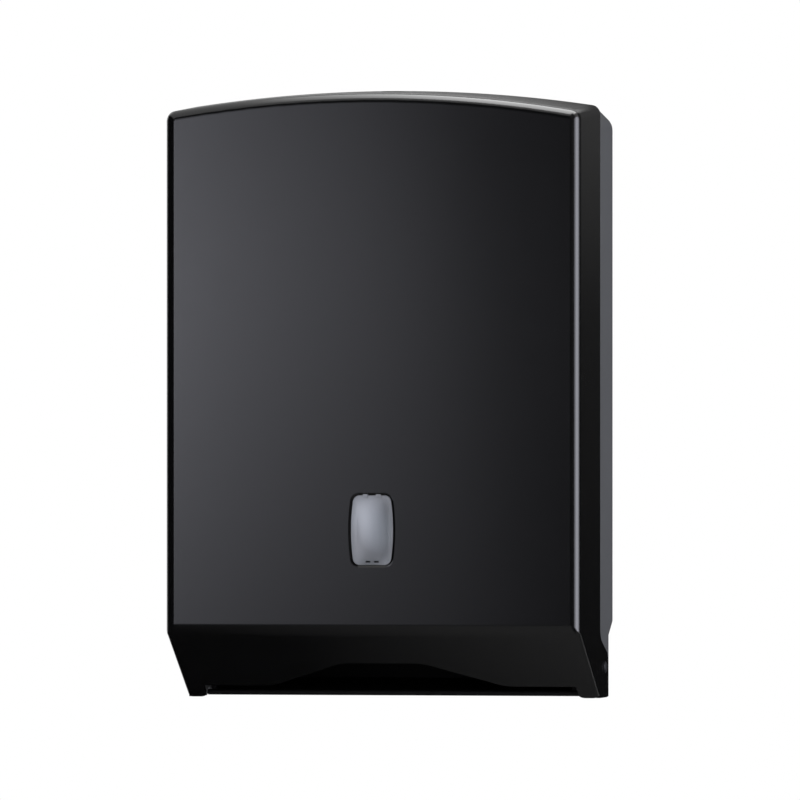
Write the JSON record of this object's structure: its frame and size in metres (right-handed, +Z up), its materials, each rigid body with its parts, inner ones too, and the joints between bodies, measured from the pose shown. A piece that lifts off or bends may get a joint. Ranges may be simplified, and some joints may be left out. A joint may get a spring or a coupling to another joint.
{
  "type": "folded towel dispenser",
  "caption": "Wall-hung dispenser for folded paper towels: arched black cover hinged at the bottom, level window, mouth with a finger notch, keyed cam lock on top.",
  "frame": {"origin": "middle of the four wall screw holes, on the wall plane", "axes": "+X to the right as seen from the room, -Y out into the room, +Z up"},
  "size_m": [0.2796, 0.13, 0.4],
  "materials": {
    "cover_plastic": "satin black",
    "body_plastic": "fine matt grain",
    "tray_plastic": "matt black",
    "window_plastic": "frosted",
    "pin_steel": "blackened steel",
    "zinc_steel": "bright zinc",
    "lock_nickel": "satin nickel"
  },
  "bodies": {
    "base": {"rear_body": "body_plastic", "towel_tray": "tray_plastic", "tray_screws": "zinc_steel", "left_hinge_pin": "pin_steel", "right_hinge_pin": "pin_steel", "lock_keeper": "zinc_steel", "keeper_screws": "zinc_steel", "left_towel_guide": "tray_plastic", "right_towel_guide": "tray_plastic", "guide_screws": "zinc_steel"},
    "cover": {"front_cover": "cover_plastic", "level_window": "window_plastic", "lock_housing": "lock_nickel", "lock_washer": "zinc_steel", "lock_nut": "lock_nickel"},
    "lock": {"lock_core": "lock_nickel", "lock_cam": "zinc_steel", "cam_washer": "zinc_steel", "cam_screw": "zinc_steel"}
  },
  "joints": [
    {"name": "cover_hinge", "type": "hinge", "parent": "base", "child": "cover", "pos_m": [0, -0.033, -0.19], "axis": [1, 0, 0], "range_deg": [0, 90]},
    {"name": "lock_turn", "type": "hinge", "parent": "cover", "child": "lock", "pos_m": [0, -0.07, 0.17], "axis": [0, 0, -1], "range_deg": [0, 90]}
  ]
}
